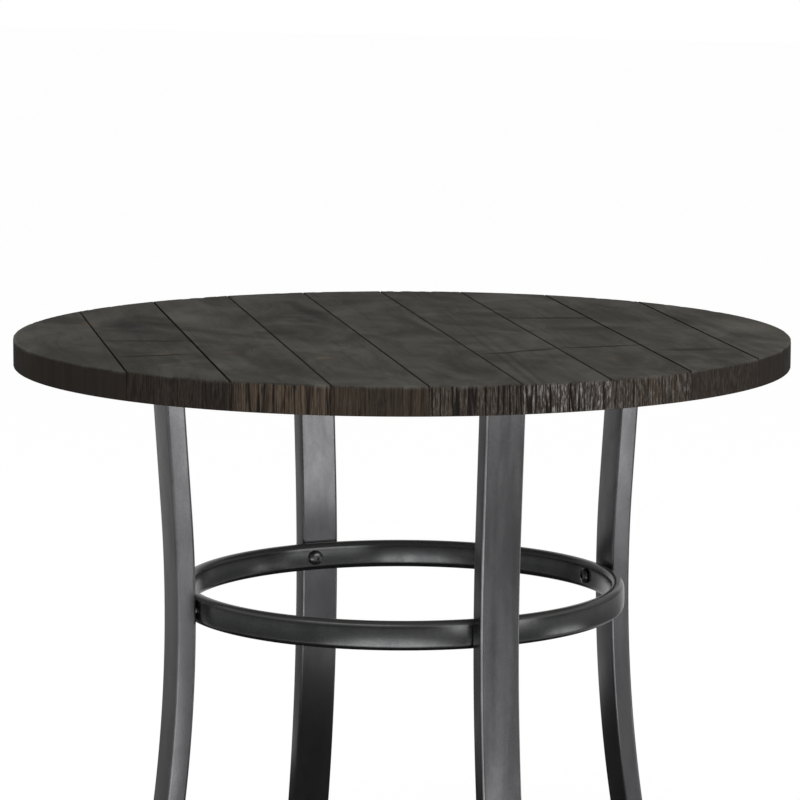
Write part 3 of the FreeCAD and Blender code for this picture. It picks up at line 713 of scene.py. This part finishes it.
def makeBoardMaterial(number, stain):
    material, tree, shader, place = newMaterial(f"stainedBoard{number + 1}")
    turned = alongBoards(tree, place)
    shift = stain["firstShift"] + number * stain["nextShift"]
    grain = useGroup(tree, woodGroup, {"Vector": turned, "Shift": shift})
    spot = useGroup(tree, zoneGroup, {"Vector": place})

    # painted shade: the rim's end grain goes dark deep in its cracks
    rim = mixColour(tree, spot["Crack"], stainRim(tree, turned, number, stain), stain["darkLinesAndCrackShade"])
    colour = mixColour(tree, spot["Wall"], stainFace(tree, turned, grain, number, stain), rim)
    worn = maths(tree, "MULTIPLY", spot["Edge"], ramp(tree, grain["Patch"], *stain["wornEdge"]))
    colour = mixColour(tree, worn, colour, stain["rimGrey"])
    colour = mixColour(tree, spot["Groove"], colour, stain["darkLinesAndCrackShade"])

    height = maths(tree, "MULTIPLY_ADD", grain["Figure"], stain["relief"], grain["Streak"])
    height = maths(tree, "MULTIPLY_ADD", grain["Chatter"], stain["relief"], height)
    fillInputs(tree, shader, {
        "Base Color": colour, "Specular IOR Level": stain["sheen"],
        "Roughness": spread(tree, grain["Patch"], *stain["roughness"]),
        "Normal": bump(tree, height, *stain["bump"]),
    })
    return material


# Boards of the top, each sawn from one round blank
boardShape = {
    "rimFaces": 4320,
    "rimEase": 0.0018,
    "rimEaseSteps": 3,
    "rimRows": 10,
    "longestRimEdge": 0.005,
    "joinGroove": 0.0013,
    "lipCuts": 110,
    "lipWander": 0.0004,
    "sawDepth": 0.0007,
    "crackDepth": 0.0020,
    "chipDepth": 0.0009,
    "leastChip": 0.35,
    # how far in the wear of the rim's wall and edge reaches, as shares of the eased edge
    "wallShare": 0.4,
    "edgeShare": 1.2,
    # how rough the sawn ends are, from the far left board to the far right one
    "endRoughness": (0.2, 0.45, 0.8, 0.5, 1.0, 1.0, 0.65, 0.3, 0.2),
    "textures": {
        # name: (kind, the values spread from black to white, settings)
        "saw": ("CLOUDS", (0.3, 0.62), {"noise_scale": 0.0045, "noise_depth": 2}),
        "crack": ("VORONOI", (0.0, 0.06), {"noise_scale": 0.014, "weight_1": -1, "weight_2": 1}),
        "chip": ("CLOUDS", (0.3, 0.5), {"noise_scale": 0.018, "noise_depth": 1}),
        "lip": ("CLOUDS", None, {"noise_scale": 0.03, "noise_depth": 3}),
    },
    # the textures' guides: how far they move on for each board, and how the saw marks stretch
    "guideStep": 1.7,
    "chipGuidePlace": (0.3, 0.2),
    "sawStretch": (1, 40, 25),
    "smoothing": 40,
    "faceWeight": 90,
}


def insetOf(co):
    return topRadius - math.hypot(co.x, co.y)


def onRim(co):
    level = min(abs(co.z - topHeight), abs(co.z - underside))
    return level < close and insetOf(co) < 5 * close


def onLine(co, place):
    # on the upper edge of a joint's groove
    return abs(co.x - place) < 3 * close and co.z > topHeight - 3 * close


def sawBoard(blank, number, shape):
    board = duplicatePiece(blank, f"stainedBoard{number + 1}")
    left = (number - boardCount / 2) * boardWidth
    right = left + boardWidth

    def isRimEdge(edge):
        start, end = [vert.co for vert in edge.verts]
        short = edge.calc_length() < shape["longestRimEdge"]
        level = abs(start.z - end.z) < close
        return short and level and onRim(start) and onRim(end) and len(edge.link_faces) == 2

    startEditing(board)
    for side, place in ((1, left), (-1, right)):
        if abs(place) > topRadius - close:
            continue
        slicePiece((place, 0, 0), (side, 0, 0), clear_inner=True)
        slicePiece((place, 0, topHeight - shape["joinGroove"]), (-side, 0, 1), clear_outer=True)
        lip = place + side * shape["joinGroove"]
        pick("edges", lambda edge: all(onLine(vert.co, lip) for vert in edge.verts))
        bpy.ops.mesh.subdivide(number_cuts=shape["lipCuts"])
    pick("edges", isRimEdge)
    bpy.ops.mesh.bevel(offset=shape["rimEase"], segments=shape["rimEaseSteps"], affect="EDGES")
    for row in range(1, shape["rimRows"]):
        slicePiece((0, 0, underside + topThickness * row / shape["rimRows"]), (0, 0, 1))
    closeShell(close / 4)
    stopEditing()
    return board, left, right


def addGuide(name, place, scale):
    bpy.ops.object.empty_add(location=place)
    guide = bpy.context.object
    guide.name = name
    guide.scale = scale
    return guide


def wearBoard(board, number, left, right, shape, textures):
    # sawn and cracked ends, a chipped rim, and joint lines that wander
    lip = shape["joinGroove"]
    rough = shape["endRoughness"][number]
    chip = shape["chipDepth"] * (shape["leastChip"] + (1 - shape["leastChip"]) * rough)
    reach = shape["rimEase"] * shape["edgeShare"]

    def onRimEdge(co):
        # clear of the ends of the grooves
        between = left + 3 * lip < co.x < right - 3 * lip
        return float(between and insetOf(co) < reach and co.z > topHeight - reach)

    depth = shape["rimEase"] * shape["wallShare"]
    wall = weigh(board, "wall", lambda co: float(insetOf(co) < depth))
    rimEdge = weigh(board, "rimEdge", onRimEdge)
    leftLip = weigh(board, "leftLip", lambda co: float(onLine(co, left + lip)))
    rightLip = weigh(board, "rightLip", lambda co: float(onLine(co, right - lip)))
    shift = shape["guideStep"] * number
    chipGuide = addGuide("chipGuide", (shift, *shape["chipGuidePlace"]), (1, 1, 1))
    sawGuide = addGuide("sawGuide", (shift, 0, 0), shape["sawStretch"])
    tasks = (
        # direction, texture, guide, verts, strength, and the value that leaves a vert in place
        ("NORMAL", "saw", sawGuide, wall, shape["sawDepth"] * rough, 1.0),
        ("NORMAL", "crack", sawGuide, wall, shape["crackDepth"] * rough, 1.0),
        ("NORMAL", "chip", chipGuide, rimEdge, chip, 1.0),
        ("X", "lip", chipGuide, leftLip, shape["lipWander"], 0.0),
        ("X", "lip", chipGuide, rightLip, -shape["lipWander"], 0.0),
    )
    for direction, texture, guide, group, strength, middle in tasks:
        applyModifier(
            board, "DISPLACE", direction=direction, texture=textures[texture], texture_coords="OBJECT",
            texture_coords_object=guide, vertex_group=group, strength=strength, mid_level=middle,
        )
    removeObjects(chipGuide, sawGuide)
    board.vertex_groups.clear()
    board.rotation_euler.z = boardAngle
    settle(board)


def makeTop(shape, stain):
    textures = {name: makeTexture(name, *given) for name, given in shape["textures"].items()}
    middle = (0, 0, underside + topThickness / 2)
    blank = addCylinder("roundBlank", shape["rimFaces"], topRadius, topThickness, middle)
    for number in range(boardCount):
        board, left, right = sawBoard(blank, number, shape)
        wearBoard(board, number, left, right, shape, textures)
        smoothUnder(shape["smoothing"])
        applyModifier(board, "WEIGHTED_NORMAL", weight=shape["faceWeight"], keep_sharp=True)
        dress(board, "table", "plank_wood", makeBoardMaterial(number, stain), f"plank_{number + 1}")
        print("board", number + 1, "has", len(board.data.polygons), "faces")
    removeObjects(blank)


makeTop(boardShape, boardStain)
print("the top is made")

# Brushed gunmetal lacquer on the legs: mottled, with soft dark and pale bands along the tube
legPaint = {
    "dark": (0.165, 0.165, 0.172),
    "pale": (0.215, 0.215, 0.222),
    # bare metal at worn corners, and also a painted highlight along them
    "worn": (0.95, 0.95, 0.96),
    "speckle": 0.12,
    "bandSpan": (0.35, 0.65),
    "wearAndHighlightSpan": (0.35, 0.65, 0.6, 1.0),
    "roughness": (0.26, 0.23),
    "metallic": 0.92,
    "brushing": 0.6,
    "bump": (0.00006, 0.35),
    "firstShift": 2.0,
    "nextShift": 1.3,
    # one value for each leg, from the first one round to the fourth
    # tone: partly the paint's own, partly painted shade that darkens some legs, most of all the fourth
    "tone": (0.92, 0.87, 0.99, 0.68),
    "cornerWearAndHighlight": (0.05, 0.05, 0.10, 0.9),
    "banding": (0.05, 0.05, 0.04, 0.2),
}


def makeLegPaint(number, paint):
    material, tree, shader, place = newMaterial(f"gunmetalLacquer{number + 1}")
    shift = paint["firstShift"] + number * paint["nextShift"]
    spot = useGroup(tree, metalGroup, {"Vector": place, "Shift": shift})
    colour = mixColour(tree, spread(tree, spot["Mottle"]), paint["dark"], paint["pale"])
    swing = paint["banding"][number]
    colour = tint(tree, colour, ramp(tree, spot["Band"], *paint["bandSpan"], 1 - swing, 1 + swing))
    colour = addSpeckle(tree, spot, colour, paint["speckle"])
    corner = addNode(tree, "ShaderNodeAttribute", attribute_name="corner").outputs["Fac"]
    # along the corners: worn paint and a painted highlight, strongest on the fourth leg
    wearAndHighlight = maths(tree, "MULTIPLY", corner, ramp(tree, spot["Mottle"], *paint["wearAndHighlightSpan"]))
    wearAndHighlight = maths(tree, "MULTIPLY", wearAndHighlight, paint["cornerWearAndHighlight"][number])
    colour = mixColour(tree, wearAndHighlight, colour, paint["worn"])
    # each leg's tone, partly painted shade
    colour = tint(tree, colour, paint["tone"][number])
    height = maths(tree, "MULTIPLY_ADD", spot["Brushing"], paint["brushing"], spot["Speckle"])
    fillInputs(tree, shader, {
        "Base Color": colour, "Metallic": paint["metallic"],
        "Roughness": spread(tree, spot["Mottle"], *paint["roughness"]),
        "Normal": bump(tree, height, *paint["bump"]),
    })
    return material


# Legs: rounded rectangular tube, bent outwards above and below the waist
legShape = {
    "width": 0.060,
    "depth": 0.030,
    "corner": 0.0045,
    "cornerSteps": 5,
    "wall": 0.002,
    "waistRadius": 0.3485,
    "waistHeight": 0.5265,
    "bendRadius": 2.220,
    "topSplay": math.radians(3.7),
    "lowTurn": math.radians(14),
    "lowSteps": 56,
    "highSteps": 15,
    "topRun": 0.22,
    "footLift": 0.003,
    "nutHole": 0.011,
    "nutHoleFaces": 40,
    "boltOffset": 0.017,
    # where the paint wears and a highlight is painted across a rounded corner, as shares of its width
    "litAndWornCornerBand": (0.5, 0.85),
    "smoothing": 35,
    "weldBead": 0.0021,
    "weldSteps": 3,
    "weldCuts": 2,
    "weldRipple": 0.0011,
    "weldRippleSize": 0.0035,
    "weldSmoothing": 50,
}


def makeLegTube(shape):
    # modelled along +X, then turned to each of its places
    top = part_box("leg_plate_1")[0].z
    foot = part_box("foot_plug_1")[0].z + shape["footLift"]
    waist = (shape["waistRadius"], 0, shape["waistHeight"])
    centre = (shape["waistRadius"] + shape["bendRadius"], 0, shape["waistHeight"])
    leg = addOutline("legTube", waist, (0, 0, 0), (shape["depth"], shape["width"]), shape)
    selectAll()
    bpy.ops.mesh.spin(steps=shape["lowSteps"], angle=shape["lowTurn"], center=centre, axis=(0, 1, 0))
    pick("verts", lambda vert: abs(vert.co.z - shape["waistHeight"]) < close)
    bpy.ops.mesh.spin(steps=shape["highSteps"], angle=-shape["topSplay"], center=centre, axis=(0, 1, 0))
    run = (math.sin(shape["topSplay"]) * shape["topRun"], 0, math.cos(shape["topSplay"]) * shape["topRun"])
    bpy.ops.mesh.extrude_edges_move(TRANSFORM_OT_translate={"value": run})
    slicePiece((0, 0, top), (0, 0, 1), clear_outer=True)
    slicePiece((0, 0, foot), (0, 0, 1), clear_inner=True)
    pick("faces", lambda face: abs(face.normal.z) > levelNormal)
    bpy.ops.mesh.delete(type="ONLY_FACE")
    selectAll()
    bpy.ops.mesh.normals_make_consistent(inside=False)
    stopEditing()
    markCorners(leg, shape)
    bead = makeWeldBead(leg, top, shape)
    applyModifier(leg, "SOLIDIFY", thickness=shape["wall"], offset=-1)
    drillLeg(leg, shape)
    smoothUnder(shape["smoothing"])
    return leg, bead


def markCorners(leg, shape):
    # 1 along the rounded corners, where the paint wears and a highlight is painted
    corner = leg.data.attributes.new("corner", "FLOAT", "POINT")
    flat = shape["width"] / 2 - shape["corner"]
    low, high = shape["litAndWornCornerBand"]
    for vertex, mark in zip(leg.data.vertices, corner.data):
        mark.value = float(low < (abs(vertex.co.y) - flat) / shape["corner"] < high)


def makeWeldBead(leg, top, shape):
    # a thin round bead along the tube's upper outline, cut off level below the plate
    bead = duplicatePiece(leg, "weldBead")
    startEditing(bead)
    pick("verts", lambda vert: vert.co.z < top - close)
    bpy.ops.mesh.delete(type="VERT")
    stopEditing()
    bpy.ops.object.convert(target="CURVE")
    bead = bpy.context.object
    bead.data.bevel_depth = shape["weldBead"]
    bead.data.bevel_resolution = shape["weldSteps"]
    bpy.ops.object.convert(target="MESH")
    bead = bpy.context.object
    startEditing(bead)
    bpy.ops.mesh.remove_doubles(threshold=close)
    bpy.ops.mesh.subdivide(number_cuts=shape["weldCuts"])
    bpy.ops.mesh.normals_make_consistent(inside=False)
    bpy.ops.transform.translate(value=(0, 0, -shape["weldBead"] / 2))
    stopEditing()
    ripple = makeTexture("weld", "CLOUDS", None, {"noise_scale": shape["weldRippleSize"], "noise_depth": 1})
    applyModifier(bead, "DISPLACE", texture=ripple, texture_coords="LOCAL", strength=shape["weldRipple"])
    startEditing(bead)
    slicePiece((0, 0, top - close), (0, 0, 1), threshold=close / 10, clear_outer=True)
    stopEditing()
    smoothUnder(shape["weldSmoothing"])
    return bead


def drillLeg(leg, shape):
    # hole in the inner wall for the nut that the hoop's bolt turns into
    place = (shape["waistRadius"] - shape["depth"] / 2, shape["boltOffset"], shape["waistHeight"])
    radius = shape["nutHole"] / 2 + close
    drill = addCylinder("drill", shape["nutHoleFaces"], radius, shape["wall"] * 4, place, (0, math.pi / 2, 0))
    applyModifier(leg, "BOOLEAN", operation="DIFFERENCE", solver="EXACT", object=drill)
    removeObjects(drill)


def makeLegs(shape, paint):
    leg, bead = makeLegTube(shape)
    for number, angle in enumerate(legAngles):
        material = makeLegPaint(number, paint)
        tube = duplicatePiece(leg, f"bowedLeg{number + 1}", angle)
        weld = duplicatePiece(bead, f"weldBead{number + 1}", angle)
        dress(tube, "table", "leg_paint", material, f"leg_{number + 1}")
        dress(weld, "table", "leg_paint", material)
        finishWith(frame["nodes"][f"leg_plate_{number + 1}"], material)
    removeObjects(leg, bead)


makeLegs(legShape, legPaint)
print("the legs are made")

# Hoop: flat tube with rounded edges, dark satin lacquer
hoopShape = {
    "depth": 0.021,
    "corner": 0.0078,
    "cornerSteps": 8,
    "crown": 0.0016,
    "crownSteps": 12,
    "steps": 288,
    "smoothing": 35,
    "dark": (0.092, 0.093, 0.095),
    "pale": (0.118, 0.119, 0.120),
    "speckle": 0.2,
    "roughness": (0.24, 0.19),
    "metallic": 0.92,
    # duller towards the top: starts and is full this far below it
    "dull": (0.105, 0.105, 0.104),
    "dullMetallic": 0.35,
    "dullReach": (0.010, 0.003),
    "bump": (0.00005, 0.4),
    "shift": 9.4,
}


def makeHoopPaint(look, hoopTop):
    material, tree, shader, place = newMaterial("darkHoopLacquer")
    spot = useGroup(tree, metalGroup, {"Vector": place, "Shift": look["shift"]})
    colour = mixColour(tree, spread(tree, spot["Mottle"]), look["dark"], look["pale"])
    colour = addSpeckle(tree, spot, colour, look["speckle"])
    height = splitVector(tree, place)["Z"]
    low, high = look["dullReach"]
    nearTop = ramp(tree, height, hoopTop - low, hoopTop - high)
    colour = mixColour(tree, nearTop, colour, look["dull"])
    fillInputs(tree, shader, {
        "Base Color": colour,
        "Metallic": ramp(tree, nearTop, 0.0, 1.0, look["metallic"], look["dullMetallic"]),
        "Roughness": spread(tree, spot["Mottle"], *look["roughness"]),
        "Normal": bump(tree, spot["Speckle"], *look["bump"]),
    })
    return material


def pickRow(middle, level, side):
    # the verts at one level of the hoop's outline, on its inner or outer side
    def inRow(vert):
        atLevel = abs(vert.co.z - middle[2] - level) < close / 4
        return atLevel and (vert.co.x - middle[0]) * side > 0

    pick("verts", inRow)


def crownFaces(shape, middle, tall):
    # both tall faces curve in towards the top and bottom, corners and all
    flat = tall - 2 * shape["corner"]
    pick("edges", lambda edge: edge.calc_length() > flat - close)
    bpy.ops.mesh.subdivide(number_cuts=shape["crownSteps"] - 1)
    outline = bmesh.from_edit_mesh(bpy.context.object.data)
    levels = {round(vert.co.z - middle[2], 6) for vert in outline.verts}
    for level in levels:
        inwards = shape["crown"] * (2 * level / tall) ** 2
        for side in (-1, 1):
            pickRow(middle, level, side)
            bpy.ops.transform.translate(value=(-side * inwards, 0, 0))


def makeHoop(shape):
    low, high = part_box("foot_hoop")
    tall = high.z - low.z
    middle = (high.x - shape["depth"] / 2, 0, (low.z + high.z) / 2)
    hoop = addOutline("footHoop", middle, (math.pi / 2, 0, 0), (shape["depth"], tall), shape)
    crownFaces(shape, middle, tall)
    selectAll()
    bpy.ops.mesh.spin(steps=shape["steps"], angle=2 * math.pi, center=(0, 0, 0), axis=(0, 0, 1))
    closeShell(close)
    stopEditing()
    smoothUnder(shape["smoothing"])
    dress(hoop, "table", "hoop_paint", makeHoopPaint(shape, high.z), "foot_hoop")


makeHoop(hoopShape)
print("the hoop is made")

# Bolts: domed heads with a hex socket, black oxide
boltShape = {
    "headRadius": 0.0115,
    "headHeight": 0.006,
    "headRim": 0.0014,
    "domeSteps": 7,
    "domeTurn": math.radians(80),
    # share of the dome's width that narrows evenly, for a rounder crown
    "domeSlope": 0.06,
    "edge": 0.0003,
    "edgeAngle": math.radians(50),
    "socketWidth": 0.008,
    "socketDepth": 0.0034,
    "shankRadius": 0.004,
    "shankLength": 0.035,
    "seat": 0.30999,
    "faces": 72,
    "smoothing": 30,
    "black": (0.13, 0.13, 0.135),
    "worn": (0.30, 0.30, 0.305),
    "wornSpan": (0.5, 0.75, 0.0, 0.4),
    "roughness": (0.2, 0.3),
    "metallic": 0.9,
    "bump": (0.00005, 0.4),
    "shift": 4.1,
}


def makeBoltBlack(look):
    material, tree, shader, place = newMaterial("blackOxide")
    spot = useGroup(tree, metalGroup, {"Vector": place, "Shift": look["shift"]})
    worn = ramp(tree, spot["Mottle"], *look["wornSpan"])
    fillInputs(tree, shader, {
        "Base Color": mixColour(tree, worn, look["black"], look["worn"]),
        "Metallic": look["metallic"],
        "Roughness": spread(tree, spot["Speckle"], *look["roughness"]),
        "Normal": bump(tree, spot["Speckle"], *look["bump"]),
    })
    return material


def domeHead(shape):
    # the upper face grows into a dome, a step at a time
    pick("faces", lambda face: face.normal.z > levelNormal)
    dome = shape["headHeight"] - shape["headRim"]
    lastWidth = 1.0
    lastRise = 0.0
    for step in range(1, shape["domeSteps"] + 1):
        turn = shape["domeTurn"] * step / shape["domeSteps"]
        rest = 1 - step / shape["domeSteps"]
        width = math.cos(turn) * (1 - shape["domeSlope"]) + shape["domeSlope"] * rest
        rise = math.sin(turn) * dome
        bpy.ops.mesh.extrude_region_move(TRANSFORM_OT_translate={"value": (0, 0, rise - lastRise)})
        bpy.ops.transform.resize(value=(width / lastWidth, width / lastWidth, 1))
        lastWidth = width
        lastRise = rise


def makeBolt(shape):
    # modelled upright on the origin, then turned inwards and set on the hoop's inner face
    middle = (0, 0, shape["headRim"] / 2)
    bolt = addCylinder("hoopBolt", shape["faces"], shape["headRadius"], shape["headRim"], middle)
    startEditing(bolt)
    domeHead(shape)
    pick("faces", lambda face: face.normal.z < -levelNormal)
    bpy.ops.mesh.inset(thickness=shape["headRadius"] - shape["shankRadius"])
    bpy.ops.mesh.extrude_region_move(TRANSFORM_OT_translate={"value": (0, 0, -shape["shankLength"])})
    stopEditing()
    angle = shape["edgeAngle"]
    applyModifier(bolt, "BEVEL", width=shape["edge"], segments=2, limit_method="ANGLE", angle_limit=angle)
    radius = shape["socketWidth"] / math.sqrt(3)  # to the hexagon's corners
    socket = addCylinder("hexSocket", 6, radius, shape["socketDepth"] * 2, (0, 0, shape["headHeight"]))
    applyModifier(bolt, "BOOLEAN", operation="DIFFERENCE", solver="EXACT", object=socket)
    removeObjects(socket)
    bolt.rotation_euler.y = -math.pi / 2
    bolt.location = (shape["seat"], legShape["boltOffset"], legShape["waistHeight"])
    settle(bolt)
    smoothUnder(shape["smoothing"])
    return bolt


def makeBolts(shape):
    bolt = makeBolt(shape)
    material = makeBoltBlack(shape)
    for number, angle in enumerate(legAngles):
        piece = duplicatePiece(bolt, f"hoopBolt{number + 1}", angle)
        dress(piece, "table", "bolt_black", material, "hoop_bolts")
    removeObjects(bolt)


makeBolts(boltShape)
print("the bolts are made")

# Finishes of the pieces that keep their CAD shape, by the slot of their node
plainSpeckle = 0.15
plainFinishes = {
    "zinc_steel": {
        "name": "zincPlate", "dark": (0.36, 0.36, 0.35), "pale": (0.62, 0.62, 0.60), "metallic": 1.0,
        "roughness": (0.28, 0.45), "bump": (0.00006, 0.6), "shift": 3.33,
    },
    "insert_brass": {
        "name": "turnedBrass", "dark": (0.45, 0.33, 0.14), "pale": (0.66, 0.50, 0.24), "metallic": 1.0,
        "roughness": (0.3, 0.42), "bump": (0.00005, 0.6), "shift": 4.07,
    },
    "bar_paint": {
        "name": "blackPowderCoat", "dark": (0.018, 0.018, 0.019), "pale": (0.034, 0.034, 0.035),
        "metallic": 0.0, "roughness": (0.45, 0.6), "bump": (0.0002, 0.6), "shift": 5.55,
    },
    "black_nylon": {
        "name": "mouldedNylon", "dark": (0.012, 0.012, 0.012), "pale": (0.026, 0.026, 0.026),
        "metallic": 0.0, "roughness": (0.5, 0.68), "bump": (0.00012, 0.6), "shift": 4.44,
    },
}
splineWood = {
    "dark": (0.36, 0.24, 0.13),
    "pale": (0.52, 0.37, 0.22),
    "roughness": (0.55, 0.75),
    "bump": (0.0001, 0.6),
    "shift": 21.0,
}


def makePlainFinish(look):
    material, tree, shader, place = newMaterial(look["name"])
    spot = useGroup(tree, metalGroup, {"Vector": place, "Shift": look["shift"]})
    colour = mixColour(tree, spread(tree, spot["Mottle"]), look["dark"], look["pale"])
    fillInputs(tree, shader, {
        "Base Color": addSpeckle(tree, spot, colour, plainSpeckle),
        "Metallic": look["metallic"],
        "Roughness": spread(tree, spot["Mottle"], *look["roughness"]),
        "Normal": bump(tree, spot["Speckle"], *look["bump"]),
    })
    return material


def makeSplineWood(look):
    material, tree, shader, place = newMaterial("bareHardwood")
    grain = useGroup(tree, woodGroup, {"Vector": alongBoards(tree, place), "Shift": look["shift"]})
    colour = mixColour(tree, spread(tree, grain["Figure"]), look["dark"], look["pale"])
    fillInputs(tree, shader, {
        "Base Color": colour,
        "Roughness": spread(tree, grain["Streak"], *look["roughness"]),
        "Normal": bump(tree, grain["Streak"], *look["bump"]),
    })
    return material


def dressCadNodes(finishes, wood):
    materials = {slot: makePlainFinish(look) for slot, look in finishes.items()}
    materials["spline_wood"] = makeSplineWood(wood)
    for subpart in frame["record"]["subparts"]:
        if subpart["material_slot"] in materials:
            finishWith(frame["nodes"][subpart["node"]], materials[subpart["material_slot"]])


dressCadNodes(plainFinishes, splineWood)
print("the rest is dressed")
